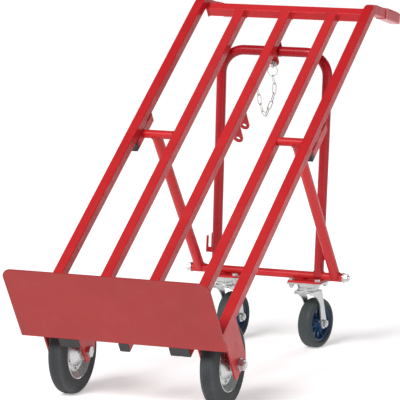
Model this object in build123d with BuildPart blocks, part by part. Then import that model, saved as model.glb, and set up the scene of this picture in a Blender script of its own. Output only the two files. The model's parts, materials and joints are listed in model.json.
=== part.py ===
from build123d import *
import math
import os

os.makedirs("parts", exist_ok=True)

# Folding sack truck standing inclined on two front wheels and two castors.  Millimetres.
# +Z is up, the toe plate is at the -Y end and the origin is on the floor under the middle of the truck.

# ---------------------------------------------------------------- driving dimensions
LEAN = 34.2                  # ladder's angle above the floor, degrees
CORNER_Y = -559.43           # where the ladder's load face meets the toe plate
WHEEL_R = 100.0
AXLE_S, AXLE_N = 85.0, -150.0      # front axle: along the ladder, and out from its load face

TUBE = 25.0                  # square tube of the ladder
WALL = 2.0
TUBE_CORNER = 2.2
LADDER_W = 480.0             # over the side rails
RAIL_X = LADDER_W / 2 - TUBE / 2
INNER_X = 124.0              # inner rails, left and right of the centre one
INNER_N = -40.5              # centre line of the inner rails and the crossbar
CROSSBAR_S = 1234.5

BEND_S = 1210.3              # side rails: straight up to here, then bent back into handles
BEND_R = 37.5
BEND_ANGLE = 45.0
HANDLE_L = 179.5
GRIP_L = 110.0
GRIP_T = 1.5

TOE_W, TOE_FRONT, TOE_BACK = 505.0, 176.0, -27.9
TOE_T = 3.0
TOE_CORNER = 25.0

SPACER_X = INNER_X + TUBE          # short tube beside each outer inner rail
SPACER_TOP = 140.0
PLUG_T = 3.5

BRACKET_T = 4.0
BRACKET_LOW, BRACKET_HIGH, BRACKET_END = 48.0, 126.0, -169.0
INNER_BRACKET_LOW = 62.0
BRACKET_CORNER, BRACKET_UPPER_CORNER = 12.0, 24.0
WHEEL_X = (SPACER_X + RAIL_X) / 2
AXLE_D = 16.0
AXLE_HEX = 24.0
TYRE_W, TYRE_SHOULDER = 40.0, 11.0
HUB_L, HUB_R = 60.0, 19.0

PIVOT_S, PIVOT_N = 734.0, -37.5    # strut pivots
PIVOT_D = 12.0
RUN = 0.05                   # radial running clearance
PIVOT_SLEEVE_R = 10.5
HOUSING_LOW, HOUSING_HIGH = 692.0, 798.0

STRUT_X, STRUT_R = 183.0, 13.0
FOOT_SLEEVE_R = 11.0
FOOT_SLEEVE_L = 38.0

BAR_Y, BAR_Z = 921.3, 11.75        # castor frame's bottom bar, from the ladder's corner
BAR_R, BAR_HALF = 10.0, 165.0
FRAME_R = 12.5
FRAME_BOTTOM_X, FRAME_TOP_X = 138.0, 142.6
FRAME_H = 557.8
FRAME_LEAN = 3.42            # top leans back, degrees
FRAME_BEND = 60.0

CASTOR_X = 110.4
CASTOR_R, CASTOR_W = 62.5, 37.0
CASTOR_TRAIL = 39.0
CASTOR_YAW = {"left": -6.0, "right": -11.0}
MOUNT_W, MOUNT_D, MOUNT_T = 84.0, 76.0, 5.0
TOP_W, TOP_D, TOP_T = 90.0, 80.0, 4.0
BOLT_X, BOLT_Y, BOLT_D = 68.0, 58.0, 8.0
FORK_IN, FORK_T = 22.0, 3.0

LOCK_S, LOCK_STEP, LOCK_REACH = 1109.3, 37.0, 45.0       # lug pair round the castor frame's top bar
STORE_S, STORE_STEP, STORE_REACH = 822.7, 49.5, 49.5     # pair that holds the bar folded away
LUG_T = 4.0
LOCK_D = 10.0

# ---------------------------------------------------------------- derived places
COS, SIN = math.cos(math.radians(LEAN)), math.sin(math.radians(LEAN))
CORNER_Z = WHEEL_R - (AXLE_S * SIN + AXLE_N * COS)
INNER_BACK = INNER_N - TUBE / 2
SIDES = {"left": -1, "right": 1}


def on_ladder(x, s, n):
    """Point at x, s along the ladder from the toe plate and n out from its load face."""
    return (x, CORNER_Y + s * COS - n * SIN, CORNER_Z + s * SIN + n * COS)


def side_plane(x):
    """Plane across X, its axes along the ladder and out from the load face."""
    return Plane(origin=on_ladder(x, 0, 0), x_dir=(0, COS, SIN), z_dir=(1, 0, 0))


def cross_plane(s):
    """Plane across the ladder at s: axes are X and out from the load face, the normal points to the toe."""
    return Plane(origin=on_ladder(0, s, 0), x_dir=(1, 0, 0), z_dir=(0, -COS, -SIN))


def save(part, name):
    part.label = name
    export_step(part, f"parts/{name}.step")


def rod(x_from, x_to, centre, radius, mode=Mode.ADD):
    """Round bar along X about centre, a (y, z) pair, added to the part being built."""
    with BuildSketch(Plane(origin=(x_from, *centre), x_dir=(0, 1, 0), z_dir=(1, 0, 0))) as face:
        Circle(radius)
    extrude(face.sketch, amount=x_to - x_from, mode=mode)


def hexagon(x_from, x_to, centre, across, mode=Mode.ADD):
    """Hexagonal bar along X, across flats given."""
    with BuildSketch(Plane(origin=(x_from, *centre), x_dir=(0, 1, 0), z_dir=(1, 0, 0))) as face:
        RegularPolygon(across / 2, 6, major_radius=False)
    extrude(face.sketch, amount=x_to - x_from, mode=mode)


def square_ring(size, wall, corner):
    RectangleRounded(size, size, corner)
    RectangleRounded(size - 2 * wall, size - 2 * wall, corner / 2, mode=Mode.SUBTRACT)


AXLE = on_ladder(0, AXLE_S, AXLE_N)[1:]
PIVOT = on_ladder(0, PIVOT_S, PIVOT_N)[1:]
BAR = (CORNER_Y + BAR_Y, CORNER_Z + BAR_Z)
FRAME_TILT = (math.sin(math.radians(FRAME_LEAN)), math.cos(math.radians(FRAME_LEAN)))
FRAME_PLANE = Plane(origin=(0, *BAR), x_dir=(1, 0, 0), z_dir=(0, -FRAME_TILT[1], FRAME_TILT[0]))
MOUNT_TOP = BAR[1] - BAR_R
TOP_PLATE = MOUNT_TOP - MOUNT_T

# ---------------------------------------------------------------- ladder
for side, sign in SIDES.items():
    x = sign * RAIL_X
    with BuildPart() as side_rail:
        with BuildLine(side_plane(x)) as path:
            shank = Line((TOE_T, -TUBE / 2), (BEND_S, -TUBE / 2))
            bend = JernArc(start=shank @ 1, tangent=(1, 0), radius=BEND_R, arc_size=-BEND_ANGLE)
            Line(bend @ 1, bend @ 1 + HANDLE_L * (bend % 1))
        with BuildSketch(Plane(origin=path.line @ 0, x_dir=(1, 0, 0), z_dir=path.line % 0)):
            square_ring(TUBE, WALL, TUBE_CORNER)
        sweep(path=path.line)
    save(side_rail.part, f"side_rail_{side}")

    handle_end = path.line @ 1
    handle_dir = path.line % 1
    with BuildPart() as grip:
        grip_end = handle_end + handle_dir * 2 * GRIP_T
        with BuildSketch(Plane(origin=grip_end, x_dir=(1, 0, 0), z_dir=-handle_dir)):
            RectangleRounded(TUBE + 2 * GRIP_T, TUBE + 2 * GRIP_T, TUBE_CORNER + GRIP_T)
        extrude(amount=GRIP_L + 2 * GRIP_T)
        fillet(grip.edges().filter_by(GeomType.LINE).group_by(Axis(handle_end, handle_dir))[-1], GRIP_T)
        with BuildSketch(Plane(origin=handle_end, x_dir=(1, 0, 0), z_dir=-handle_dir)):
            RectangleRounded(TUBE, TUBE, TUBE_CORNER)
        extrude(amount=GRIP_L, mode=Mode.SUBTRACT)
    save(grip.part, f"handle_grip_{side}")

for name, x in (("left", -INNER_X), ("centre", 0.0), ("right", INNER_X)):
    with BuildPart() as inner_rail:
        with BuildSketch(cross_plane(CROSSBAR_S - TUBE / 2)):
            with Locations((x, INNER_N)):
                square_ring(TUBE, WALL, TUBE_CORNER)
        extrude(amount=CROSSBAR_S - TUBE / 2 - TOE_T)
        if x:
            outer_wall = x + math.copysign(TUBE / 2 - 2 * WALL, x)
            rod(outer_wall, x + math.copysign(TUBE, x), PIVOT, PIVOT_D / 2 + RUN, Mode.SUBTRACT)
    save(inner_rail.part, f"inner_rail_{name}")

with BuildPart() as crossbar:
    with BuildSketch(side_plane(-RAIL_X + TUBE / 2)):
        with Locations((CROSSBAR_S, INNER_N)):
            square_ring(TUBE, WALL, TUBE_CORNER)
    extrude(amount=2 * RAIL_X - TUBE)
save(crossbar.part, "crossbar")

with BuildPart() as toe_plate:
    with BuildSketch(cross_plane(TOE_T)) as outline:
        with Locations((0, (TOE_FRONT + TOE_BACK) / 2)):
            Rectangle(TOE_W, TOE_FRONT - TOE_BACK)
        fillet(outline.vertices().group_by(Axis.Y)[-1], TOE_CORNER)
    extrude(amount=TOE_T)
save(toe_plate.part, "toe_plate")

with BuildPart() as spacers:
    with BuildSketch(cross_plane(SPACER_TOP)):
        with Locations(*[(sign * SPACER_X, INNER_N) for sign in SIDES.values()]):
            square_ring(TUBE, WALL, TUBE_CORNER)
    extrude(amount=SPACER_TOP - TOE_T)
save(spacers.part, "bracket_spacer_tubes")

PLUG_DEPTH = 14.0
PLUG_FIT = 0.2
with BuildPart() as plugs:
    plug_places = [(x, INNER_N) for x in (-SPACER_X, -INNER_X, 0, INNER_X, SPACER_X)]
    with BuildSketch(cross_plane(TOE_T)):
        with Locations(*plug_places):
            RectangleRounded(TUBE - PLUG_FIT, TUBE - PLUG_FIT, TUBE_CORNER)
    extrude(amount=PLUG_T)
    with BuildSketch(cross_plane(TOE_T + PLUG_DEPTH)):
        with Locations(*plug_places):
            RectangleRounded(TUBE - 2 * WALL - PLUG_FIT, TUBE - 2 * WALL - PLUG_FIT, TUBE_CORNER)
    extrude(amount=PLUG_DEPTH)
save(plugs.part, "rail_end_plugs")

# ---------------------------------------------------------------- front wheel brackets and axles
for side, sign in SIDES.items():
    for place, x, root, low in (
        ("inner", SPACER_X, INNER_BACK, INNER_BRACKET_LOW),
        ("outer", RAIL_X, -TUBE, BRACKET_LOW),
    ):
        with BuildPart() as bracket:
            with BuildSketch(side_plane(sign * x - BRACKET_T / 2)) as outline:
                with Locations(((low + BRACKET_HIGH) / 2, (root + BRACKET_END) / 2)):
                    Rectangle(BRACKET_HIGH - low, root - BRACKET_END)
                far_corners = outline.vertices().group_by(Axis.Y)[0].sort_by(Axis.X)
                fillet(far_corners[0], BRACKET_CORNER)
                fillet(outline.vertices().group_by(Axis.X)[-1].sort_by(Axis.Y)[0], BRACKET_UPPER_CORNER)
                with Locations((AXLE_S, AXLE_N)):
                    Circle(AXLE_D / 2 + RUN, mode=Mode.SUBTRACT)
            extrude(amount=BRACKET_T)
        save(bracket.part, f"wheel_bracket_{place}_{side}")

AXLE_HEAD = 7.0
AXLE_NUT = 13.0
AXLE_TAIL = 3.0
AXLE_WASHER = 3.0
AXLE_SPACER_R = 12.0
SIDE_PLAY = 0.3
outer_face = RAIL_X + BRACKET_T / 2
inner_face = SPACER_X - BRACKET_T / 2
for side, sign in SIDES.items():
    with BuildPart() as axle:
        rod(sign * inner_face, sign * (outer_face + AXLE_NUT + AXLE_TAIL), AXLE, AXLE_D / 2)
        hexagon(sign * inner_face, sign * (inner_face - AXLE_HEAD), AXLE, AXLE_HEX)
    save(axle.part, f"front_axle_{side}")

with BuildPart() as axle_nuts:
    for sign in SIDES.values():
        hexagon(sign * (outer_face + AXLE_WASHER), sign * (outer_face + AXLE_NUT), AXLE, AXLE_HEX)
        rod(sign * outer_face, sign * (outer_face + AXLE_WASHER), AXLE, AXLE_HEX / 2 + 3)
        rod(sign * outer_face, sign * (outer_face + AXLE_NUT), AXLE, AXLE_D / 2 + RUN, Mode.SUBTRACT)
save(axle_nuts.part, "front_axle_nuts")

with BuildPart() as axle_spacers:
    for sign in SIDES.values():
        for inside, outside in ((SPACER_X + BRACKET_T / 2, WHEEL_X - HUB_L / 2 - SIDE_PLAY),
                                (WHEEL_X + HUB_L / 2 + SIDE_PLAY, RAIL_X - BRACKET_T / 2)):
            rod(sign * inside, sign * outside, AXLE, AXLE_SPACER_R)
            rod(sign * inside, sign * outside, AXLE, AXLE_D / 2 + RUN, Mode.SUBTRACT)
save(axle_spacers.part, "front_axle_spacers")

# ---------------------------------------------------------------- front wheels
BEARING_R = 14.5
for side, sign in SIDES.items():
    x = sign * WHEEL_X
    section = Plane(origin=(x, *AXLE), x_dir=(1, 0, 0), z_dir=(0, -1, 0))
    spin = Axis((x, *AXLE), (1, 0, 0))
    half = TYRE_W / 2
    with BuildPart() as tyre:
        with BuildSketch(section) as profile:
            with BuildLine():
                Polyline((-12, 60.2), (12, 60.2), (15.8, 65.8), (19, 68), (half, 74), (half, WHEEL_R),
                         (-half, WHEEL_R), (-half, 74), (-19, 68), (-15.8, 65.8), (-12, 60.2))
            make_face()
            fillet(profile.vertices().group_by(Axis.Y)[-1], TYRE_SHOULDER)
        revolve(axis=spin)
    save(tyre.part, f"front_tyre_{side}")

    with BuildPart() as rim:
        with BuildSketch(section):
            for face in (-1, 1):
                with BuildLine():
                    Polyline(*[(face * a, b) for a, b in (
                        (26, HUB_R), (24, 21.5), (9, 36), (8, 39), (8, 48), (14, 57.2), (18.2, 64.8), (16.4, 65),
                        (12.7, 59.9), (0, 59.9), (0, 57.9), (11.8, 57.9), (6, 48.8), (6, 38.2), (7.6, 34.6),
                        (23, HUB_R), (26, HUB_R))])
                make_face()
        revolve(axis=spin)
    save(rim.part, f"front_rim_{side}")

    with BuildPart() as hub:
        rod(x - HUB_L / 2, x + HUB_L / 2, AXLE, HUB_R)
        rod(x - HUB_L / 2, x + HUB_L / 2, AXLE, BEARING_R, Mode.SUBTRACT)
    save(hub.part, f"front_hub_{side}")

    with BuildPart() as bearing:
        rod(x - HUB_L / 2 + 2, x + HUB_L / 2 - 2, AXLE, BEARING_R)
        rod(x - HUB_L / 2, x + HUB_L / 2, AXLE, AXLE_D / 2 + RUN, Mode.SUBTRACT)
    save(bearing.part, f"front_roller_bearing_{side}")

# ---------------------------------------------------------------- strut pivots on the ladder
HOUSING_N = -TUBE * 1.5
HOUSING_PLUG = 11.0
for side, sign in SIDES.items():
    with BuildPart() as housing:
        with BuildSketch(cross_plane(HOUSING_HIGH)):
            with Locations((sign * RAIL_X, HOUSING_N)):
                square_ring(TUBE, WALL, TUBE_CORNER)
        extrude(amount=HOUSING_HIGH - HOUSING_LOW)
        rod(sign * (RAIL_X - TUBE), sign * RAIL_X, PIVOT, PIVOT_D / 2 + RUN, Mode.SUBTRACT)
    save(housing.part, f"strut_housing_{side}")

with BuildPart() as housing_plugs:
    with BuildSketch(cross_plane(HOUSING_LOW)):
        with Locations(*[(sign * RAIL_X, HOUSING_N) for sign in SIDES.values()]):
            RectangleRounded(TUBE - PLUG_FIT, TUBE - PLUG_FIT, TUBE_CORNER)
    extrude(amount=HOUSING_PLUG)
    with BuildSketch(cross_plane(HOUSING_LOW + PLUG_DEPTH)):
        with Locations(*[(sign * RAIL_X, HOUSING_N) for sign in SIDES.values()]):
            RectangleRounded(TUBE - 2 * WALL - PLUG_FIT, TUBE - 2 * WALL - PLUG_FIT, TUBE_CORNER)
    extrude(amount=PLUG_DEPTH)
save(housing_plugs.part, "strut_housing_plugs")

with BuildPart() as pivot_pins:
    for sign in SIDES.values():
        rod(sign * (INNER_X + 4), sign * (RAIL_X + TUBE / 2 - WALL - 1), PIVOT, PIVOT_D / 2)
save(pivot_pins.part, "strut_pivot_pins")

# ---------------------------------------------------------------- struts
along = Vector(0, BAR[0] - PIVOT[0], BAR[1] - PIVOT[1])
strut_l = along.length
GAP = 0.5
for side, sign in SIDES.items():
    x = sign * STRUT_X
    sleeve_in = INNER_X + TUBE / 2 + GAP
    sleeve_out = RAIL_X - TUBE / 2 - GAP
    foot_in, foot_out = BAR_HALF + GAP, BAR_HALF + GAP + FOOT_SLEEVE_L
    with BuildPart() as sleeves:
        rod(sign * sleeve_in, sign * sleeve_out, PIVOT, PIVOT_SLEEVE_R)
        rod(sign * sleeve_in, sign * sleeve_out, PIVOT, PIVOT_D / 2 + RUN, Mode.SUBTRACT)
        rod(sign * foot_in, sign * foot_out, BAR, FOOT_SLEEVE_R)
        rod(sign * foot_in, sign * foot_out, BAR, PIVOT_D / 2 + RUN, Mode.SUBTRACT)
    save(sleeves.part, f"strut_sleeves_{side}")

    with BuildPart() as strut:
        with BuildSketch(Plane(origin=(x, *PIVOT), x_dir=(1, 0, 0), z_dir=along)):
            Circle(STRUT_R)
            Circle(STRUT_R - WALL, mode=Mode.SUBTRACT)
        extrude(amount=strut_l)
        rod(x - TUBE, x + TUBE, PIVOT, PIVOT_SLEEVE_R, Mode.SUBTRACT)
        rod(x - TUBE, x + TUBE, BAR, FOOT_SLEEVE_R, Mode.SUBTRACT)
    save(strut.part, f"strut_tube_{side}")

# ---------------------------------------------------------------- castor frame
with BuildPart() as frame_tube:
    with BuildLine(FRAME_PLANE) as path:
        FilletPolyline((-FRAME_BOTTOM_X, 0), (-FRAME_TOP_X, FRAME_H), (FRAME_TOP_X, FRAME_H),
                       (FRAME_BOTTOM_X, 0), radius=FRAME_BEND)
    with BuildSketch(Plane(origin=path.line @ 0, z_dir=path.line % 0)):
        Circle(FRAME_R)
        Circle(FRAME_R - WALL, mode=Mode.SUBTRACT)
    sweep(path=path.line)
    rod(-BAR_HALF, BAR_HALF, BAR, BAR_R, Mode.SUBTRACT)
save(frame_tube.part.solids().sort_by(SortBy.VOLUME)[-1], "castor_frame_tube")

with BuildPart() as bottom_bar:
    rod(-BAR_HALF, BAR_HALF, BAR, BAR_R)
    rod(-BAR_HALF, BAR_HALF, BAR, PIVOT_D / 2 + RUN, Mode.SUBTRACT)
save(bottom_bar.part, "castor_frame_bar")

HOOK_LOW, HOOK_HIGH, HOOK_W, HOOK_T = 41.0, 91.0, 17.0, 3.0
HOOK_SLOT, HOOK_SLOT_LOW, HOOK_FINGER = 8.0, 54.0, 5.5
leg_slope = (FRAME_TOP_X - FRAME_BOTTOM_X) / FRAME_H
with BuildPart() as hooks:
    for sign in SIDES.values():
        low_root = sign * (FRAME_BOTTOM_X + FRAME_R + 0.1 + HOOK_LOW * leg_slope)
        high_root = sign * (FRAME_BOTTOM_X + FRAME_R + 0.1 + HOOK_HIGH * leg_slope)
        tip = low_root + sign * HOOK_W
        with BuildSketch(FRAME_PLANE.offset(-HOOK_T / 2)):
            with BuildLine():
                Polyline((low_root, HOOK_LOW), (tip, HOOK_LOW), (tip, HOOK_HIGH - 8),
                         (tip - sign * HOOK_FINGER, HOOK_HIGH - 8), (tip - sign * HOOK_FINGER, HOOK_SLOT_LOW),
                         (tip - sign * (HOOK_FINGER + HOOK_SLOT), HOOK_SLOT_LOW),
                         (tip - sign * (HOOK_FINGER + HOOK_SLOT), HOOK_HIGH), (high_root, HOOK_HIGH),
                         (low_root, HOOK_LOW))
            make_face()
        extrude(amount=HOOK_T)
save(hooks.part, "castor_frame_hooks")

NUT_T, WASHER_T = 10.0, 2.5
bolt_from, washer_from = BAR_HALF - 25, BAR_HALF + 2 * GAP + FOOT_SLEEVE_L
with BuildPart() as bar_bolts:
    for sign in SIDES.values():
        rod(sign * bolt_from, sign * (washer_from + WASHER_T + NUT_T + 4), BAR, PIVOT_D / 2)
save(bar_bolts.part, "castor_frame_pivot_bolts")

with BuildPart() as bar_nuts:
    for sign in SIDES.values():
        rod(sign * washer_from, sign * (washer_from + WASHER_T), BAR, 13.0)
        hexagon(sign * (washer_from + WASHER_T), sign * (washer_from + WASHER_T + NUT_T), BAR, 19.0)
        rod(sign * washer_from, sign * (washer_from + WASHER_T + NUT_T), BAR, PIVOT_D / 2 + RUN, Mode.SUBTRACT)
save(bar_nuts.part, "castor_frame_pivot_nuts")

RACE_R, RACE_H = 29.0, 9.0
LOWER_RACE_R, LOWER_RACE_H = 26.0, 9.0
RACE_GAP = 0.5
KING_R, KING_HEAD_R, KING_HEAD_T = 6.0, 10.0, 6.0
fork_top = TOP_PLATE - TOP_T - RACE_H - RACE_GAP - LOWER_RACE_H
castor_places = [(sign * CASTOR_X, BAR[0]) for sign in SIDES.values()]
with BuildPart() as mounts:
    with BuildSketch(Plane.XY.offset(TOP_PLATE)):
        with Locations(*castor_places):
            RectangleRounded(MOUNT_W, MOUNT_D, 3)
            with GridLocations(BOLT_X, BOLT_Y, 2, 2):
                Circle(BOLT_D / 2 + RUN, mode=Mode.SUBTRACT)
    extrude(amount=MOUNT_T)
save(mounts.part, "castor_mount_plates")

with BuildPart() as top_plates:
    with BuildSketch(Plane.XY.offset(TOP_PLATE - TOP_T)):
        with Locations(*castor_places):
            RectangleRounded(TOP_W, TOP_D, 6)
            with GridLocations(BOLT_X, BOLT_Y, 2, 2):
                Circle(BOLT_D / 2 + RUN, mode=Mode.SUBTRACT)
    extrude(amount=TOP_T)
    with BuildSketch(Plane.XY.offset(TOP_PLATE - TOP_T)):
        with Locations(*castor_places):
            Circle(RACE_R)
    extrude(amount=-RACE_H, taper=12)
    with BuildSketch(Plane.XY.offset(TOP_PLATE - TOP_T)):
        with Locations(*castor_places):
            Circle(KING_R)
    extrude(amount=-(TOP_PLATE - TOP_T - fork_top + FORK_T), mode=Mode.SUBTRACT)
save(top_plates.part, "castor_top_plates")

with BuildPart() as king_bolts:
    with BuildSketch(Plane.XY.offset(TOP_PLATE - TOP_T)):
        with Locations(*castor_places):
            Circle(KING_R)
    extrude(amount=-(TOP_PLATE - TOP_T - fork_top + FORK_T + RACE_GAP))
    with BuildSketch(Plane.XY.offset(fork_top - FORK_T - RACE_GAP)):
        with Locations(*castor_places):
            RegularPolygon(KING_HEAD_R, 6, major_radius=False)
    extrude(amount=-KING_HEAD_T)
save(king_bolts.part, "castor_king_bolts")

bolt_places = [(sign * CASTOR_X + dx, BAR[0] + dy) for sign in SIDES.values()
               for dx in (-BOLT_X / 2, BOLT_X / 2) for dy in (-BOLT_Y / 2, BOLT_Y / 2)]
HEAD_T, BOLT_NUT_T, BOLT_TAIL = 5.5, 6.5, 4.0
with BuildPart() as castor_bolts:
    with BuildSketch(Plane.XY.offset(MOUNT_TOP)):
        with Locations(*bolt_places):
            RegularPolygon(6.5, 6, major_radius=False)
    extrude(amount=HEAD_T)
    with BuildSketch(Plane.XY.offset(MOUNT_TOP)):
        with Locations(*bolt_places):
            Circle(BOLT_D / 2)
    extrude(amount=-(MOUNT_T + TOP_T + BOLT_NUT_T + BOLT_TAIL))
save(castor_bolts.part, "castor_bolts")

with BuildPart() as castor_nuts:
    with BuildSketch(Plane.XY.offset(TOP_PLATE - TOP_T)):
        with Locations(*bolt_places):
            RegularPolygon(6.5, 6, major_radius=False)
            Circle(BOLT_D / 2 + RUN, mode=Mode.SUBTRACT)
    extrude(amount=-BOLT_NUT_T)
save(castor_nuts.part, "castor_nuts")

# ---------------------------------------------------------------- castors
FORK_FRONT, FORK_BACK = -27.0, 27.0
FORK_END_R = 13.0
CASTOR_AXLE_D = 10.0
for side, sign in SIDES.items():
    yaw = math.radians(CASTOR_YAW[side])
    across = Vector(math.cos(yaw), math.sin(yaw), 0)
    back = Vector(-math.sin(yaw), math.cos(yaw), 0)
    swivel = Vector(sign * CASTOR_X, BAR[0], 0)
    hub_at = swivel + back * CASTOR_TRAIL + Vector(0, 0, CASTOR_R)

    with BuildPart() as fork:
        for leg in (-1, 1):
            inner = FORK_IN if leg > 0 else -FORK_IN - FORK_T
            with BuildSketch(Plane(origin=swivel + across * inner, x_dir=back, z_dir=across)):
                with BuildLine():
                    top_front = (FORK_FRONT, fork_top)
                    top_back = (FORK_BACK, fork_top)
                    end_back = (CASTOR_TRAIL + FORK_END_R, CASTOR_R)
                    end_front = (CASTOR_TRAIL - FORK_END_R, CASTOR_R)
                    front_low = (FORK_FRONT, fork_top - 9)
                    throat = (end_front[0] - 6, fork_top - 42)
                    Polyline(top_back, top_front, front_low)
                    ThreePointArc(front_low, (throat[0] - 14, throat[1] + 20), throat)
                    Line(throat, end_front)
                    ThreePointArc(end_front, (CASTOR_TRAIL, CASTOR_R - FORK_END_R), end_back)
                    Line(end_back, top_back)
                make_face()
                with Locations((CASTOR_TRAIL, CASTOR_R)):
                    Circle(CASTOR_AXLE_D / 2 + RUN, mode=Mode.SUBTRACT)
            extrude(amount=FORK_T)
        crown = Plane(origin=swivel + Vector(0, 0, fork_top), x_dir=across, z_dir=(0, 0, -1))
        with BuildSketch(crown):
            Rectangle(2 * (FORK_IN + FORK_T), FORK_BACK - FORK_FRONT)
        extrude(amount=FORK_T)
        fillet(fork.edges().filter_by(Axis((0, 0, 0), back)).group_by(Axis.Z)[-1], 2.5)
        with BuildSketch(crown):
            Circle(LOWER_RACE_R)
        extrude(amount=-LOWER_RACE_H)
        with BuildSketch(crown.offset(FORK_T)):
            Circle(KING_R + RUN)
        extrude(amount=-(FORK_T + LOWER_RACE_H), mode=Mode.SUBTRACT)
    save(fork.part, f"castor_fork_{side}")

    spin_plane = Plane(origin=hub_at, x_dir=(0, 0, 1), z_dir=across)
    half_axle = FORK_IN + FORK_T
    with BuildPart() as castor_axle:
        with BuildSketch(spin_plane.offset(-half_axle)):
            Circle(CASTOR_AXLE_D / 2)
        extrude(amount=2 * half_axle)
        with BuildSketch(spin_plane.offset(half_axle)):
            RegularPolygon(8.5, 6, major_radius=False)
        extrude(amount=7)
        with BuildSketch(spin_plane.offset(-half_axle)):
            RegularPolygon(8.5, 6, major_radius=False)
        extrude(amount=-6)
        with BuildSketch(spin_plane.offset(half_axle + 7)):
            Circle(CASTOR_AXLE_D / 2)
        extrude(amount=2.5)
    save(castor_axle.part, f"castor_axle_{side}")

    section = Plane(origin=hub_at, x_dir=across, z_dir=back * -1)
    spin = Axis(hub_at, across)
    half = CASTOR_W / 2
    with BuildPart() as castor_tyre:
        with BuildSketch(section) as profile:
            with BuildLine():
                Polyline((-half + 3, 47), (half - 3, 47), (half, 50), (half, CASTOR_R), (-half, CASTOR_R),
                         (-half, 50), (-half + 3, 47))
            make_face()
            fillet(profile.vertices().group_by(Axis.Y)[-1], 9.5)
        revolve(axis=spin)
    save(castor_tyre.part, f"castor_tyre_{side}")

    with BuildPart() as castor_centre:
        with BuildSketch(section):
            with BuildLine():
                Polyline((-14, 46.6), (14, 46.6), (14, 41.5), (5, 38), (5, 20), (13, 16), (21.5, 14), (21.5, 5.05),
                         (-21.5, 5.05), (-21.5, 14), (-13, 16), (-5, 20), (-5, 38), (-14, 41.5), (-14, 46.6))
            make_face()
        revolve(axis=spin)
    save(castor_centre.part, f"castor_wheel_centre_{side}")

# ---------------------------------------------------------------- locks on the centre rail
for name, middle, step, reach in (
    ("lock", LOCK_S, LOCK_STEP, LOCK_REACH),
    ("storage", STORE_S, STORE_STEP, STORE_REACH),
):
    with BuildPart() as lugs:
        for offset in (-step / 2, step / 2):
            with BuildSketch(cross_plane(middle + offset + LUG_T / 2)):
                with Locations((0, INNER_BACK - (reach - TUBE / 2) / 2)):
                    Rectangle(TUBE, reach - TUBE / 2)
                with Locations((0, INNER_BACK - reach + TUBE / 2)):
                    Circle(TUBE / 2)
                    Circle(LOCK_D / 2 + 0.4, mode=Mode.SUBTRACT)
            extrude(amount=LUG_T)
    save(lugs.part, f"{name}_lugs")

LOCK_N = INNER_BACK - LOCK_REACH + TUBE / 2
PIN_OVER = 8.0
PIN_HEAD_R, PIN_HEAD_T = 8.5, 6.0
PIN_TAB_W, PIN_TAB_D, PIN_TAB_L = 5.0, 13.0, 10.0
PIN_EYE_R = 3.0
pin_low = LOCK_S - LOCK_STEP / 2 - LUG_T / 2 - GAP
eye_s = pin_low - PIN_HEAD_T - PIN_TAB_L / 2
with BuildPart() as lock_pin:
    with BuildSketch(cross_plane(LOCK_S + LOCK_STEP / 2 + LUG_T / 2 + PIN_OVER)):
        with Locations((0, LOCK_N)):
            Circle(LOCK_D / 2)
    extrude(amount=LOCK_STEP + LUG_T + PIN_OVER + GAP)
    chamfer(lock_pin.faces().sort_by(Axis((0, 0, 0), (0, COS, SIN)))[-1].edges(), 1.5)
    with BuildSketch(cross_plane(pin_low)):
        with Locations((0, LOCK_N)):
            Circle(PIN_HEAD_R)
    extrude(amount=PIN_HEAD_T)
    with BuildSketch(cross_plane(pin_low - PIN_HEAD_T)):
        with Locations((0, LOCK_N)):
            Rectangle(PIN_TAB_W, PIN_TAB_D)
    extrude(amount=PIN_TAB_L)
    rod(-PIN_TAB_D, PIN_TAB_D, on_ladder(0, eye_s, LOCK_N)[1:], PIN_EYE_R, Mode.SUBTRACT)
save(lock_pin.part, "lock_pin")

RING_R, RING_WIRE = 13.0, 0.9
ring_top = Vector(*on_ladder(0, eye_s, LOCK_N)) - Vector(0, 0, PIN_EYE_R - RING_WIRE - RACE_GAP)
ring_centre = ring_top - Vector(0, 0, RING_R)
with BuildPart() as ring:
    with BuildSketch(Plane(origin=ring_top, x_dir=(0, 1, 0), z_dir=(1, 0, 0))):
        Circle(RING_WIRE)
    revolve(axis=Axis(ring_centre, (0, 1, 0)))
save(ring.part, "lock_ring")

# ---------------------------------------------------------------- chain from the ring to an eye on the rail
EYE_S, EYE_HALF, EYE_OUT, EYE_WIRE = 961.0, 6.0, 11.0, 1.5
with BuildPart() as chain_eye:
    with BuildLine(
        Plane(origin=on_ladder(0, EYE_S, INNER_BACK), x_dir=(1, 0, 0), z_dir=(0, -COS, -SIN))
    ) as path:
        FilletPolyline((-EYE_HALF, 0), (-EYE_HALF, -EYE_OUT), (EYE_HALF, -EYE_OUT), (EYE_HALF, 0), radius=4)
    with BuildSketch(Plane(origin=path.line @ 0, z_dir=path.line % 0)):
        Circle(EYE_WIRE)
    sweep(path=path.line)
save(chain_eye.part, "chain_eye")

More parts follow.
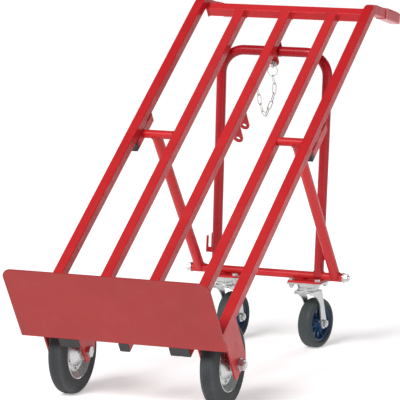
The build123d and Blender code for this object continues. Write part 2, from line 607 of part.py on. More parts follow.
LINKS = 9
LINK_WIRE, LINK_HALF_W, LINK_OVER = 1.0, 4.8, 2.1
ring_low = ring_top - Vector(0, 0, 2 * RING_R)
eye_wire = Vector(*on_ladder(0, EYE_S, INNER_BACK - EYE_OUT))
HANG = ((958, 477), (945, 453), (919, 430), (894, 411), (870, 427), (855, 446), (846, 468))
hang_line = Spline(
    ring_low + Vector(0, 0, RING_WIRE + LINK_WIRE + SIDE_PLAY - LINK_OVER),
    *[(0, CORNER_Y + y, CORNER_Z + z) for y, z in HANG],
    eye_wire + Vector(0, -0.6, 0.8) * (EYE_WIRE + LINK_WIRE + SIDE_PLAY - LINK_OVER),
)
joints = [hang_line @ (i / LINKS) for i in range(LINKS + 1)]
with BuildPart() as chain:
    for i, (a, b) in enumerate(zip(joints, joints[1:])):
        run = (b - a).normalized()
        flat = Vector(1, 0, 0) if i % 2 else run.cross(Vector(1, 0, 0))
        tip = (b - a).length / 2 + LINK_OVER
        turn = tip - LINK_HALF_W
        with BuildLine(Plane(origin=(a + b) / 2, x_dir=run, z_dir=run.cross(flat))) as path:
            Line((-turn, -LINK_HALF_W), (turn, -LINK_HALF_W))
            ThreePointArc((turn, -LINK_HALF_W), (tip, 0), (turn, LINK_HALF_W))
            Line((turn, LINK_HALF_W), (-turn, LINK_HALF_W))
            ThreePointArc((-turn, LINK_HALF_W), (-tip, 0), (-turn, -LINK_HALF_W))
        with BuildSketch(Plane(origin=path.line @ 0, z_dir=path.line % 0)):
            Circle(LINK_WIRE)
        sweep(path=path.line)
save(chain.part, "lock_chain")
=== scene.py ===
import bpy
import json
import math
from mathutils import Matrix, Vector


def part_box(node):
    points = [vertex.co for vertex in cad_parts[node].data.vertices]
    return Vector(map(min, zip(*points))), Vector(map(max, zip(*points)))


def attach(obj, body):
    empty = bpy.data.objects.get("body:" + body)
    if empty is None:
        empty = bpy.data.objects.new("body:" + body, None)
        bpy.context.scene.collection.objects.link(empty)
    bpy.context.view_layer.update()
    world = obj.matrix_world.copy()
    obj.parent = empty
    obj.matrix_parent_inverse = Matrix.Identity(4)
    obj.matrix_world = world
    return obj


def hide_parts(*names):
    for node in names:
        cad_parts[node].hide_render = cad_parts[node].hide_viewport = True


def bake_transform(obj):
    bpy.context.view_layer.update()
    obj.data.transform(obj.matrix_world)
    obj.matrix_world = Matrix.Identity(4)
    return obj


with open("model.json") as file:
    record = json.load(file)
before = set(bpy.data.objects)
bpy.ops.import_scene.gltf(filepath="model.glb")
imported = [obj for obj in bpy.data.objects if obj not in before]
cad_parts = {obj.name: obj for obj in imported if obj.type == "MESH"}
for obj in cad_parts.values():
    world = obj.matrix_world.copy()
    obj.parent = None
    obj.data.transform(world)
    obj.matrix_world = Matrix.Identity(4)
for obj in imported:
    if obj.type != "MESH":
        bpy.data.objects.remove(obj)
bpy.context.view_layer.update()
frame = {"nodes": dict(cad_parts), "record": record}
record = frame["record"]
nodes = frame["nodes"]
JOINTS = {j["name"]: j for j in record["behaviour"]["joints"]}

# ---------------------------------------------------------------- where things are, in metres
LEAN = math.radians(34.2)
C, S = math.cos(LEAN), math.sin(LEAN)
U = Vector((0, C, S))             # along the ladder, away from the toe plate
N = Vector((0, -S, C))            # out from the ladder's load face
AXLE = Vector(JOINTS["front_wheel_right_spin"]["pos_m"])
AXLE_S, AXLE_N = 0.085, -0.150
CORNER = Vector((0, AXLE.y, AXLE.z)) - U * AXLE_S - N * AXLE_N
PIVOT = Vector((0, *JOINTS["strut_right_fold"]["pos_m"][1:]))
BAR = Vector((0, *JOINTS["castor_frame_fold"]["pos_m"][1:]))
RAIL_X, INNER_X, TUBE = 0.2275, 0.124, 0.025
SPACER_X = 0.149
INNER_N = -0.0405
SIDES = {"left": -1, "right": 1}


def at(x, s, n):
    """Point in the row frame from x, s along the ladder and n out from its load face."""
    return Vector((x, 0, 0)) + CORNER + U * s + N * n


# ---------------------------------------------------------------- procedural materials
def new_material(name):
    m = bpy.data.materials.new(name)
    m.use_nodes = True
    tree = m.node_tree
    tree.nodes.clear()
    out = tree.nodes.new("ShaderNodeOutputMaterial")
    bsdf = tree.nodes.new("ShaderNodeBsdfPrincipled")
    tree.links.new(bsdf.outputs[0], out.inputs[0])
    coord = tree.nodes.new("ShaderNodeTexCoord")
    return m, tree, bsdf, coord.outputs["Object"]


def noise(tree, coord, scale, detail=4.0, rough=0.55, stretch=None):
    n = tree.nodes.new("ShaderNodeTexNoise")
    n.inputs["Scale"].default_value = scale
    n.inputs["Detail"].default_value = detail
    n.inputs["Roughness"].default_value = rough
    if stretch:
        mapping = tree.nodes.new("ShaderNodeMapping")
        mapping.inputs["Scale"].default_value = stretch
        tree.links.new(coord, mapping.inputs["Vector"])
        coord = mapping.outputs["Vector"]
    tree.links.new(coord, n.inputs["Vector"])
    return n.outputs["Fac"]


def remap(tree, value, lo, hi, to_lo, to_hi):
    r = tree.nodes.new("ShaderNodeMapRange")
    for key, v in (("From Min", lo), ("From Max", hi), ("To Min", to_lo), ("To Max", to_hi)):
        r.inputs[key].default_value = v
    tree.links.new(value, r.inputs["Value"])
    return r.outputs["Result"]


def mix(tree, factor, a, b):
    m = tree.nodes.new("ShaderNodeMix")
    m.data_type = "RGBA"
    if isinstance(factor, float):
        m.inputs["Factor"].default_value = factor
    else:
        tree.links.new(factor, m.inputs["Factor"])
    for socket, v in (("A", a), ("B", b)):
        target = next(i for i in m.inputs if i.name == socket and i.type == "RGBA")
        if isinstance(v, tuple):
            target.default_value = (*v, 1)
        else:
            tree.links.new(v, target)
    return next(o for o in m.outputs if o.type == "RGBA")


def bump(tree, bsdf, heights):
    """Chains bump nodes from (value, strength, distance in metres) entries into the shader's normal."""
    last = None
    for value, strength, distance in heights:
        b = tree.nodes.new("ShaderNodeBump")
        b.inputs["Strength"].default_value = strength
        b.inputs["Distance"].default_value = distance
        tree.links.new(value, b.inputs["Height"])
        if last:
            tree.links.new(last, b.inputs["Normal"])
        last = b.outputs["Normal"]
    tree.links.new(last, bsdf.inputs["Normal"])


def paint(name, colour, shade, rough, coat=0.25, chip=0.735):
    m, tree, bsdf, co = new_material(name)
    cloud = remap(tree, noise(tree, co, 9.0, 5.0), 0.35, 0.7, 0.0, 1.0)
    base = mix(tree, cloud, colour, shade)
    fine = noise(tree, co, 330.0, 3.0)
    base = mix(tree, remap(tree, fine, 0.35, 0.75, 0.0, 0.16), base, tuple(0.62 * v for v in colour))
    # convex edges found by pointiness are mixed towards a paler red: a painted highlight along the edges
    geometry = tree.nodes.new("ShaderNodeNewGeometry")
    edge = remap(tree, geometry.outputs["Pointiness"], 0.53, 0.60, 0.0, 0.35)
    base = mix(tree, edge, base, tuple(min(1.0, 1.25 * v + 0.04) for v in colour))
    chips = remap(tree, noise(tree, co, 46.0, 9.0, 0.68), chip, chip + 0.012, 0.0, 0.85)
    base = mix(tree, chips, base, (0.16, 0.035, 0.03))
    dust = remap(tree, noise(tree, co, 21.0, 7.0, 0.62), 0.5, 0.8, 0.0, 0.10)
    base = mix(tree, dust, base, (0.40, 0.12, 0.11))
    tree.links.new(base, bsdf.inputs["Base Color"])
    smear = noise(tree, co, 34.0, 6.0, 0.6)
    tree.links.new(remap(tree, smear, 0.3, 0.75, rough - 0.07, rough + 0.16), bsdf.inputs["Roughness"])
    bsdf.inputs["Coat Weight"].default_value = coat
    bsdf.inputs["Coat Roughness"].default_value = 0.18
    bsdf.inputs["Specular IOR Level"].default_value = 0.26
    bump(tree, bsdf, [(noise(tree, co, 260.0, 2.0), 0.18, 0.0003), (chips, 0.35, -0.0002)])
    return m


def metal(name, colour, rough, streak=(1, 1, 1), warm=(0.72, 0.66, 0.50)):
    m, tree, bsdf, co = new_material(name)
    cloud = remap(tree, noise(tree, co, 38.0, 6.0, 0.6), 0.45, 0.8, 0.0, 0.45)
    base = mix(tree, cloud, colour, tuple(0.72 * v for v in colour))
    tint = remap(tree, noise(tree, co, 70.0, 4.0), 0.5, 0.75, 0.0, 0.22)
    base = mix(tree, tint, base, warm)
    spots = remap(tree, noise(tree, co, 210.0, 8.0, 0.7), 0.73, 0.77, 0.0, 0.45)
    base = mix(tree, spots, base, (0.20, 0.19, 0.18))
    tree.links.new(base, bsdf.inputs["Base Color"])
    bsdf.inputs["Metallic"].default_value = 0.92
    lines = noise(tree, co, 300.0, 4.0, 0.6, streak)
    tree.links.new(remap(tree, lines, 0.3, 0.75, rough - 0.08, rough + 0.18), bsdf.inputs["Roughness"])
    bump(tree, bsdf, [(lines, 0.10, 0.00015), (spots, 0.15, -0.0002)])
    return m


def rubber(name, colour, dusty, rough, dust_share):
    m, tree, bsdf, co = new_material(name)
    patch = remap(tree, noise(tree, co, 16.0, 7.0, 0.62), 0.42, 0.75, 0.0, dust_share)
    base = mix(tree, patch, colour, dusty)
    grain = noise(tree, co, 520.0, 5.0, 0.7)
    base = mix(tree, remap(tree, grain, 0.45, 0.75, 0.0, 0.25), base, tuple(0.45 * v for v in colour))
    scuffs = remap(tree, noise(tree, co, 58.0, 9.0, 0.7, (3.0, 1.0, 1.0)), 0.66, 0.72, 0.0, 0.35)
    base = mix(tree, scuffs, base, dusty)
    tree.links.new(base, bsdf.inputs["Base Color"])
    tree.links.new(remap(tree, grain, 0.3, 0.75, rough - 0.1, rough + 0.12), bsdf.inputs["Roughness"])
    bsdf.inputs["Specular IOR Level"].default_value = 0.42
    bump(tree, bsdf, [(grain, 0.3, 0.0004), (scuffs, 0.2, -0.0003)])
    return m


def plastic(name, colour, light, rough, coat=0.0):
    m, tree, bsdf, co = new_material(name)
    swirl = remap(tree, noise(tree, co, 24.0, 5.0, 0.6), 0.35, 0.75, 0.0, 0.5)
    base = mix(tree, swirl, colour, light)
    grain = noise(tree, co, 600.0, 4.0, 0.6)
    scratches = remap(tree, noise(tree, co, 90.0, 9.0, 0.7, (1.0, 6.0, 1.0)), 0.68, 0.73, 0.0, 0.3)
    base = mix(tree, scratches, base, tuple(min(1.0, 2.0 * v + 0.05) for v in light))
    tree.links.new(base, bsdf.inputs["Base Color"])
    tree.links.new(remap(tree, grain, 0.3, 0.75, rough - 0.06, rough + 0.14), bsdf.inputs["Roughness"])
    bsdf.inputs["Coat Weight"].default_value = coat
    bsdf.inputs["Coat Roughness"].default_value = 0.12
    bump(tree, bsdf, [(grain, 0.18, 0.00025), (scratches, 0.3, -0.0002)])
    return m


MAT = {
    "red": paint("tube_red", (0.50, 0.004, 0.008), (0.41, 0.003, 0.007), 0.30, 0.06),
    "toe": paint("toe_plate_red", (0.31, 0.015, 0.014), (0.25, 0.010, 0.009), 0.36, 0.06, 0.75),
    # the castor frame takes a darker copy of the tube red: painted shade on the frame
    "frame": paint("castor_frame_shaded_red", (0.37, 0.004, 0.009), (0.30, 0.002, 0.007), 0.28, 0.08),
    "weld": paint("weld_red", (0.43, 0.004, 0.007), (0.36, 0.003, 0.006), 0.36, 0.12, 0.80),
    "zinc": metal("zinc_plate", (0.60, 0.62, 0.62), 0.31),
    "rim": metal("rim_zinc", (0.60, 0.63, 0.63), 0.24, (1, 1, 1), (0.62, 0.60, 0.52)),
    "chain": metal("chain_zinc", (0.66, 0.65, 0.62), 0.34),
    "tyre": rubber("front_tyre_rubber", (0.030, 0.034, 0.038), (0.095, 0.10, 0.105), 0.62, 0.45),
    "castor": rubber("castor_rubber", (0.034, 0.046, 0.048), (0.080, 0.092, 0.094), 0.58, 0.35),
    "blue": plastic("castor_blue", (0.006, 0.040, 0.110), (0.010, 0.065, 0.155), 0.30, 0.30),
    "black": plastic("plug_black", (0.014, 0.014, 0.015), (0.030, 0.030, 0.032), 0.46),
    "grip": plastic("grip_red", (0.46, 0.012, 0.024), (0.56, 0.018, 0.032), 0.34, 0.25),
}
SLOT_LOOK = {"red_paint": "red", "zinc_plate": "zinc", "black_rubber": "tyre", "grey_rubber": "castor",
             "blue_plastic": "blue", "black_plastic": "black", "red_grip": "grip"}
OWN_LOOK = {"toe_plate": "toe", "castor_frame_tube": "frame", "front_rim_left": "rim", "front_rim_right": "rim",
            "lock_ring": "chain"}
for sub in record["subparts"]:
    look = OWN_LOOK.get(sub["node"], SLOT_LOOK[sub["material_slot"]])
    node = nodes[sub["node"]]
    for i in range(max(1, len(node.data.materials))):
        if i < len(node.data.materials):
            node.data.materials[i] = MAT[look]
        else:
            node.data.materials.append(MAT[look])


# ---------------------------------------------------------------- pieces built in mesh code
def build(name, verts, faces, look, body, smooth=True):
    mesh = bpy.data.meshes.new(name)
    mesh.from_pydata([tuple(v) for v in verts], [], faces)
    mesh.validate()
    mesh.update()
    if smooth:
        mesh.polygons.foreach_set("use_smooth", [True] * len(mesh.polygons))
    obj = bpy.data.objects.new(name, mesh)
    bpy.context.scene.collection.objects.link(obj)
    mesh.materials.append(MAT[look])
    if body:
        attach(obj, body)
    return obj


def swept(points, radius, segments=8, closed=False, squash=1.0, out=None):
    """Verts and faces of a round cord along points; radius is a number or a list, out is the flattening direction."""
    count = len(points)
    verts, faces = [], []
    side = None
    for i, p in enumerate(points):
        before = points[i - 1] if closed or i else points[i]
        after = points[(i + 1) % count] if closed or i < count - 1 else points[i]
        t = (after - before).normalized()
        if side is None:
            side = t.orthogonal().normalized() if out is None else out.cross(t).normalized()
        side = (side - t * side.dot(t)).normalized() if out is None else out.cross(t).normalized()
        other = t.cross(side).normalized()
        r = radius[i] if isinstance(radius, list) else radius
        for k in range(segments):
            a = 2 * math.pi * k / segments
            verts.append(p + side * (r * math.cos(a)) + other * (r * squash * math.sin(a)))
    rings = count if closed else count - 1
    for i in range(rings):
        for k in range(segments):
            a, b = i * segments + k, i * segments + (k + 1) % segments
            c, d = ((i + 1) % count) * segments + (k + 1) % segments, ((i + 1) % count) * segments + k
            faces.append((a, b, c, d))
    if not closed:
        faces.append(tuple(reversed(range(segments))))
        faces.append(tuple(range((count - 1) * segments, count * segments)))
    return verts, faces


class Bunch:
    """Gathers several meshes into one object."""

    def __init__(self):
        self.verts, self.faces = [], []

    def add(self, part):
        verts, faces = part
        base = len(self.verts)
        self.verts += verts
        self.faces += [tuple(base + i for i in f) for f in faces]
        return self

    def make(self, name, look, body, slot, smooth=True):
        return build(name, self.verts, self.faces, look, body, smooth)


def line(a, b, step):
    count = max(2, int((b - a).length / step) + 1)
    return [a.lerp(b, i / (count - 1)) for i in range(count)]


def loop(points, step):
    """Even points round a closed polygon."""
    out = []
    for a, b in zip(points, points[1:] + points[:1]):
        out += line(a, b, step)[:-1]
    return out


def arc(centre, u, v, radius, a0=0.0, a1=2 * math.pi, count=48):
    return [centre + u * (radius * math.cos(a0 + (a1 - a0) * i / count)) + v * (radius * math.sin(a0 + (a1 - a0) * i / count))
            for i in range(count if abs(a1 - a0) > 6.28 else count + 1)]


def bead(points, r, closed=False, seed=0.0):
    """A weld bead: a ripple runs along it and its width wanders a little."""
    radii = []
    for i in range(len(points)):
        ripple = 1 + 0.16 * math.sin(i * 2.1) + 0.08 * math.sin(i * 0.37 + seed) + 0.05 * math.sin(i * 0.91 + 2 * seed)
        radii.append(r * ripple)
    return swept(points, radii, 8, closed)


def thread(centre, axis, radius, start, end, pitch):
    """A screw thread standing just proud of a shank, from start to end along axis."""
    u = axis.orthogonal().normalized()
    v = axis.cross(u).normalized()
    turns = (end - start) / pitch
    count = max(8, int(abs(turns) * 20))
    pts = []
    for i in range(count + 1):
        a = 2 * math.pi * turns * i / count
        pts.append(centre + axis * (start + (end - start) * i / count) + (u * math.cos(a) + v * math.sin(a)) * radius)
    return swept(pts, pitch * 0.30, 5)


X, Y, Z = Vector((1, 0, 0)), Vector((0, 1, 0)), Vector((0, 0, 1))
STEP = 0.0022
W = 0.0022

# welds on the ladder: crossbar ends, inner rails under the crossbar, rails on the toe plate
cross_s, cross_n = 1.2345, INNER_N
welds = Bunch()
h = TUBE / 2
for sign in SIDES.values():
    x = sign * (RAIL_X - h)
    back = [at(x, cross_s - h, cross_n + h), at(x, cross_s - h, cross_n - h), at(x, cross_s + h, cross_n - h),
            at(x, cross_s + h, cross_n + h)]
    welds.add(bead(loop(back, STEP), W, True, sign))
    foot = [at(sign * RAIL_X - h, 0.003, -TUBE), at(sign * RAIL_X + h, 0.003, -TUBE), at(sign * RAIL_X + h, 0.003, 0),
            at(sign * RAIL_X - h, 0.003, 0)]
    welds.add(bead(loop(foot, STEP), W, True, sign + 1))
for x in (-INNER_X, 0, INNER_X):
    s = cross_s - h
    ends = [at(x - h, s, INNER_N - h), at(x + h, s, INNER_N - h), at(x + h, s, INNER_N + h), at(x - h, s, INNER_N + h)]
    welds.add(bead(loop(ends, STEP), W * 0.9, True, x * 9))
    foot_n = INNER_N + h + 0.0004
    welds.add(bead(line(at(x - h * 0.9, 0.0045, foot_n), at(x + h * 0.9, 0.0045, foot_n), STEP), W, False, x))
for sign in SIDES.values():
    for s0, s1 in ((0.694, 0.722), (0.768, 0.796)):
        for edge in (-h, h):
            x = sign * RAIL_X + edge
            welds.add(bead(line(at(x, s0, -TUBE), at(x, s1, -TUBE), STEP), W, False, s0 + edge))
welds.make("ladder_welds", "weld", "ladder", "red_paint")

# welds of the wheel brackets, on both faces of each plate
bracket_welds = Bunch()
for sign in SIDES.values():
    for x, root in ((SPACER_X, INNER_N - h), (RAIL_X, -TUBE)):
        for face in (-0.002, 0.002):
            for s0, s1 in ((0.050, 0.082), (0.094, 0.124)):
                a = at(sign * x + face, s0, root - 0.0004)
                b = at(sign * x + face, s1, root - 0.0004)
                bracket_welds.add(bead(line(a, b, STEP), W * 1.1, False, s0 + x))
bracket_welds.make("bracket_welds", "weld", "ladder", "red_paint")

# welds of the lugs on the centre rail
lug_welds = Bunch()
for middle, step in ((1.1093, 0.037), (0.8227, 0.0495)):
    for k in (-0.5, 0.5):
        for face in (-0.002, 0.002):
            s = middle + k * step + face
            lug_root = INNER_N - h - 0.0004
            lug_welds.add(bead(line(at(-h * 0.85, s, lug_root), at(h * 0.85, s, lug_root), STEP), W * 0.8, False, s))
lug_welds.make("lug_welds", "weld", "ladder", "red_paint")

# welds of the struts on their sleeves
for side, sign in SIDES.items():
    x = sign * 0.183
    run = (BAR - PIVOT).normalized()
    up = X.cross(run).normalized()
    joint_welds = Bunch()
    for centre, toward, sleeve_r in ((PIVOT, run, 0.0105), (BAR, -run, 0.011)):
        saddle = []
        for i in range(56):
            a = 2 * math.pi * i / 56
            across, lift = 0.013 * math.cos(a), 0.013 * math.sin(a)
            depth = math.sqrt(max(0.0, sleeve_r ** 2 - min(abs(lift), sleeve_r * 0.999) ** 2))
            saddle.append(centre + X * (x + across) + up * lift + toward * (depth + 0.0006))
        joint_welds.add(bead(saddle, W * 0.95, True, sign))
    joint_welds.make(f"strut_welds_{side}", "weld", f"strut_{side}", "red_paint")

# welds on the castor frame: legs on the bar, bar on the plates, hooks on the legs
tilt = math.radians(3.42)
LEG = Vector((0, math.sin(tilt), math.cos(tilt)))
frame_welds = Bunch()
for sign in SIDES.values():
    saddle = []
    for i in range(56):
        a = 2 * math.pi * i / 56
        across, fore = 0.0127 * math.cos(a), 0.0127 * math.sin(a)
        depth = math.sqrt(max(0.0, 0.010 ** 2 - min(abs(fore), 0.00999) ** 2))
        saddle.append(BAR + X * (sign * 0.138 + across) + Y * fore + LEG * (depth + 0.0004))
    frame_welds.add(bead(saddle, W, True, sign))
    for side_y in (-1, 1):
        for x0, x1 in ((0.074, 0.098), (0.112, 0.149)):
            a = BAR + Vector((sign * x0, side_y * 0.0035, -0.0094))
            b = BAR + Vector((sign * x1, side_y * 0.0035, -0.0094))
            frame_welds.add(bead(line(a, b, STEP), W * 1.1, False, x0 * 40))
    for face in (-0.0016, 0.0016):
        a = BAR + X * (sign * 0.1511) + LEG * 0.045 + Y * face
        b = BAR + X * (sign * 0.1514) + LEG * 0.088 + Y * face
        frame_welds.add(bead(line(a, b, STEP), W * 0.6, False, face * 900))
frame_welds.make("castor_frame_welds", "weld", "castor_frame", "red_paint")

# screw threads on every bolt's free end
for side, sign in SIDES.items():
    end = Bunch()
    end.add(thread(Vector((0, AXLE.y, AXLE.z)), X * sign, 0.0078, 0.2425, 0.2452, 0.0013))
    end.make(f"front_axle_thread_{side}", "zinc", "ladder", "zinc_plate")
bar_threads = Bunch()
for sign in SIDES.values():
    bar_threads.add(thread(BAR, X * sign, 0.0058, 0.2166, 0.2203, 0.0012))
plate_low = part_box("castor_nuts")[0][2]
for sign in SIDES.values():
    for dx in (-0.034, 0.034):
        for dy in (-0.029, 0.029):
            c = Vector((sign * 0.1104 + dx, BAR.y + dy, plate_low))
            bar_threads.add(thread(c, -Z, 0.0038, 0.0002, 0.0038, 0.00105))
bar_threads.make("castor_frame_threads", "zinc", "castor_frame", "zinc_plate")

# front wheels: raised rings on the tyre walls, rolled rim edge, pressed ring and rivets on the rim, hub end rings
for side in SIDES:
    c = Vector(JOINTS[f"front_wheel_{side}_spin"]["pos_m"])
    rings, press, hubs = Bunch(), Bunch(), Bunch()
    for face in (-1, 1):
        rings.add(swept(arc(c + X * face * 0.0196, Y, Z, 0.078, count=96), 0.0011, 6, True))
        rings.add(swept(arc(c + X * face * 0.0198, Y, Z, 0.0865, count=96), 0.0008, 6, True))
        press.add(swept(arc(c + X * face * 0.0173, Y, Z, 0.0648, count=96), 0.0014, 8, True))
        press.add(swept(arc(c + X * face * 0.0088, Y, Z, 0.0375, count=80), 0.0012, 8, True))
        for k in range(6):
            a = math.pi * 2 * (k + 0.5) / 6
            r = c + X * face * 0.0078 + (Y * math.cos(a) + Z * math.sin(a)) * 0.0435
            dome = [r + X * face * d for d in (0.0, 0.0012, 0.0022, 0.0029, 0.0033)]
            press.add(swept(dome, [0.0040, 0.0039, 0.0034, 0.0023, 0.0008], 14))
        hubs.add(swept(arc(c + X * face * 0.0296, Y, Z, 0.0166, count=48), 0.0012, 6, True))
        hubs.add(swept(arc(c + X * face * 0.0262, Y, Z, 0.0194, count=48), 0.0011, 6, True))
    for k in range(5):
        off = (k - 2) * 0.0036
        band = []
        for a0 in arc(c + X * off, Y, Z, 0.0998, count=120):
            band.append(a0)
        rings.add(swept(band, 0.0011, 6, True, 0.35, X))
    body = f"front_wheel_{side}"
    rings.make(f"front_tyre_rings_{side}", "tyre", body, "black_rubber")
    press.make(f"front_rim_pressing_{side}", "rim", body, "zinc_plate")
    hubs.make(f"front_hub_rings_{side}", "zinc", body, "zinc_plate")

# castors: swivel race rings, ribs in the wheel centre, mould lines on the tyre, washers and thread on the axle
for side, sign in SIDES.items():
    swivel = Vector(JOINTS[f"castor_{side}_swivel"]["pos_m"])
    c = Vector(JOINTS[f"castor_wheel_{side}_spin"]["pos_m"])
    across = Vector(JOINTS[f"castor_wheel_{side}_spin"]["axis"]).normalized()
    back = Z.cross(across).normalized()
    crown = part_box(f"castor_fork_{side}")[1][2]
    race = Bunch()
    race.add(swept(arc(Vector((swivel.x, swivel.y, crown - 0.0010)), X, Y, 0.0262, count=72), 0.0012, 8, True))
    race.add(swept(arc(Vector((swivel.x, swivel.y, crown - 0.0080)), X, Y, 0.0265, count=72), 0.0012, 8, True))
    race.make(f"castor_race_rings_{side}", "zinc", f"castor_{side}", "zinc_plate")
    ribs = Bunch()
    for face in (-1, 1):
        for k in range(10):
            a = 2 * math.pi * (k + 0.25) / 10
            d = back * math.cos(a) + Z * math.sin(a)
            t = across.cross(d)
            prof = [(0.0185, 0.0115), (0.0260, 0.0080), (0.0340, 0.0085), (0.0400, 0.0125)]
            verts = []
            for r, w in prof:
                for lift in (0.0045, w):
                    for side_t in (-0.0011, 0.0011):
                        verts.append(c + d * r + across * (face * lift) + t * side_t)
            faces = []
            for i in range(3):
                b = i * 4
                faces += [(b, b + 4, b + 5, b + 1), (b + 2, b + 3, b + 7, b + 6)]
                faces += [(b, b + 2, b + 6, b + 4), (b + 1, b + 5, b + 7, b + 3)]
            faces += [(0, 1, 3, 2), (12, 14, 15, 13)]
            ribs.add((verts, faces))
        ribs.add(swept(arc(c + across * face * 0.0140, back, Z, 0.0440, count=80), 0.0010, 8, True))
        ribs.add(swept(arc(c + across * face * 0.0214, back, Z, 0.0128, count=48), 0.0010, 8, True))
    ribs.make(f"castor_centre_ribs_{side}", "blue", f"castor_wheel_{side}", "blue_plastic")
    lines = Bunch()
    lines.add(swept(arc(c, back, Z, 0.0624, count=120), 0.00045, 5, True))
    for face in (-1, 1):
        lines.add(swept(arc(c + across * face * 0.0184, back, Z, 0.0505, count=96), 0.0007, 6, True))
    lines.make(f"castor_tyre_lines_{side}", "castor", f"castor_wheel_{side}", "grey_rubber")
    axle = Bunch()
    axle.add(thread(c, across, 0.0048, 0.0321, 0.0342, 0.0011))
    for face, off in ((1, 0.0252), (-1, 0.0252)):
        axle.add(swept(arc(c + across * face * off, back, Z, 0.0092, count=40), 0.0007, 6, True))
    axle.make(f"castor_axle_trim_{side}", "zinc", f"castor_{side}", "zinc_plate")

# grips: shallow rings near the open end
for side, sign in SIDES.items():
    drop = math.radians(45.0) - LEAN
    along = Vector((0, math.cos(drop), -math.sin(drop)))
    out = Vector((0, math.sin(drop), math.cos(drop)))
    lo, hi = (Vector(v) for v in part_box(f"handle_grip_{side}"))
    end = Vector((sign * RAIL_X, hi.y, lo.z)) + out * 0.014 - along * 0.001
    trim = Bunch()
    for k in range(9):
        p = end - along * (0.020 + 0.0095 * k)
        g = 0.0139
        ring = []
        for cx, cz, a0 in ((1, 1, 0), (-1, 1, 90), (-1, -1, 180), (1, -1, 270)):
            for i in range(5):
                a = math.radians(a0 + 90 * i / 4)
                sideways = cx * (g - 0.0037) + 0.0037 * math.cos(a)
                ring.append(p + X * sideways + out * (cz * (g - 0.0037) + 0.0037 * math.sin(a)))
        trim.add(swept(ring, 0.0005, 6, True))
    trim.make(f"grip_rings_{side}", "grip", "ladder", "red_grip")

# ---------------------------------------------------------------- chain, from the lock pin's ring to its eye
ring_lo, ring_hi = (Vector(v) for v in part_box("lock_ring"))
ring_low = Vector((0, (ring_lo.y + ring_hi.y) / 2, ring_lo.z + 0.0009))
eye_wire = at(0, 0.961, INNER_N - h - 0.011)
WIRE, HALF, OVER = 0.001, 0.0044, 0.0016      # wire radius, link half width, link overlap
HANG = [(0.958, 0.477), (0.945, 0.453), (0.919, 0.430), (0.894, 0.411), (0.870, 0.427), (0.855, 0.446), (0.846, 0.468)]
knots = [ring_low + Z * 0.0005]
knots += [CORNER + Vector((0, back, height)) for back, height in HANG]
knots.append(eye_wire + Vector((0, -0.0006, 0.0010)))


def smooth_line(points, count):
    """Catmull-Rom curve through points, resampled evenly."""
    dense = []
    pts = [points[0] * 2 - points[1]] + points + [points[-1] * 2 - points[-2]]
    for p0, p1, p2, p3 in zip(pts, pts[1:], pts[2:], pts[3:]):
        for i in range(24):
            t = i / 24
            square = (2 * p0 - 5 * p1 + 4 * p2 - p3) * t * t
            cube = (3 * p1 - p0 - 3 * p2 + p3) * t ** 3
            dense.append(0.5 * ((2 * p1) + (p2 - p0) * t + square + cube))
    dense.append(points[-1])
    total = sum((b - a).length for a, b in zip(dense, dense[1:]))
    out, want, gone = [dense[0]], total / count, 0.0
    for a, b in zip(dense, dense[1:]):
        d = (b - a).length
        while gone + d >= want * len(out) and len(out) < count:
            out.append(a.lerp(b, (want * len(out) - gone) / d))
        gone += d
    out.append(dense[-1])
    return out


LINKS = 9
stops = smooth_line(knots, LINKS)
chain = Bunch()
for i, (a, b) in enumerate(zip(stops, stops[1:])):
    run = (b - a).normalized()
    flat = X if i % 2 else run.cross(X).normalized()
    half_l = (b - a).length / 2 + OVER
    mid = (a + b) / 2
    turn = half_l - HALF
    pts = []
    for j in range(9):
        t = -math.pi / 2 + math.pi * j / 8
        pts.append(mid + run * (turn + HALF * math.cos(t)) + flat * (HALF * math.sin(t)))
    pts += line(pts[-1], mid - run * turn + flat * HALF, 0.003)[1:-1]
    for j in range(9):
        t = math.pi / 2 + math.pi * j / 8
        pts.append(mid + run * (-turn + HALF * math.cos(t)) + flat * (HALF * math.sin(t)))
    pts += line(pts[-1], mid + run * turn - flat * HALF, 0.003)[1:-1]
    chain.add(swept(pts, WIRE, 10, True))
chain_obj = chain.make("lock_chain_links", "chain", None, "zinc_plate")
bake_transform(chain_obj)
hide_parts("lock_chain")

# ---------------------------------------------------------------- studio
def plane_mesh(name, size, look):
    mesh = bpy.data.meshes.new(name)
    n = 24
    verts = [((i / n - 0.5) * size, (j / n - 0.5) * size, 0.0) for j in range(n + 1) for i in range(n + 1)]
    corners = [j * (n + 1) + i for j in range(n) for i in range(n)]
    faces = [(k, k + 1, k + n + 2, k + n + 1) for k in corners]
    mesh.from_pydata(verts, [], faces)
    obj = bpy.data.objects.new(name, mesh)
    bpy.context.scene.collection.objects.link(obj)
    mesh.materials.append(look)
    return obj


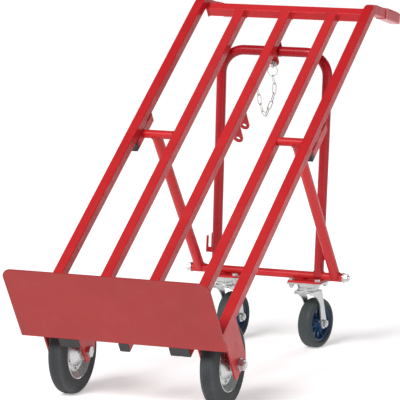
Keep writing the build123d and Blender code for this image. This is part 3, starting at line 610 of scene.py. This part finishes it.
floor_mat, tree, bsdf, co = new_material("studio_floor")
cloud = remap(tree, noise(tree, co, 1.3, 3.0), 0.3, 0.7, 0.0, 0.06)
tree.links.new(mix(tree, cloud, (0.88, 0.88, 0.885), (0.80, 0.80, 0.81)), bsdf.inputs["Base Color"])
bsdf.inputs["Roughness"].default_value = 0.85
bsdf.inputs["Emission Color"].default_value = (1, 1, 1, 1)
bsdf.inputs["Emission Strength"].default_value = 0.36
floor = plane_mesh("studio_floor", 60.0, floor_mat)

world = bpy.data.worlds.new("studio")
bpy.context.scene.world = world
world.use_nodes = True
world.node_tree.nodes["Background"].inputs["Color"].default_value = (1, 1, 1, 1)
world.node_tree.nodes["Background"].inputs["Strength"].default_value = 0.20


def area(name, pos, target, size, power):
    data = bpy.data.lights.new(name, "AREA")
    data.shape = "DISK"
    data.size = size
    data.energy = power
    obj = bpy.data.objects.new(name, data)
    bpy.context.scene.collection.objects.link(obj)
    obj.location = pos
    obj.rotation_euler = (Vector(target) - Vector(pos)).to_track_quat("-Z", "Y").to_euler()
    return obj


sun = bpy.data.lights.new("sun", "SUN")
sun.energy = 3.1
sun.angle = math.radians(22)
sun_obj = bpy.data.objects.new("sun", sun)
bpy.context.scene.collection.objects.link(sun_obj)
sun_obj.rotation_euler = Vector((0.12, 0.78, -0.60)).to_track_quat("-Z", "Y").to_euler()
area("side_box", (3.6, -1.2, 1.3), (0, 0, 0.4), 1.6, 14)
area("rim_light", (0.6, 3.8, 2.4), (0, 0, 0.5), 1.4, 35)

back = Vector((0.37449, -0.91765, 0.13295))
right = Vector((0.92587, 0.37784, 0.0))
up = Vector((-0.05023, 0.12309, 0.99113))
roll = math.radians(0.62)
right, up = right * math.cos(roll) + up * math.sin(roll), up * math.cos(roll) - right * math.sin(roll)
data = bpy.data.cameras.new("camera")
data.sensor_width = 36.0
data.lens = 280.4
data.clip_end = 100.0
camera = bpy.data.objects.new("camera", data)
bpy.context.scene.collection.objects.link(camera)
place = CORNER + Vector((2.777, -6.338, 1.236))
camera.matrix_world = Matrix(((right.x, up.x, back.x, place.x), (right.y, up.y, back.y, place.y),
                              (right.z, up.z, back.z, place.z), (0, 0, 0, 1)))
bpy.context.scene.camera = camera
bpy.context.scene.view_settings.view_transform = "Standard"
bpy.context.scene.view_settings.look = "None"
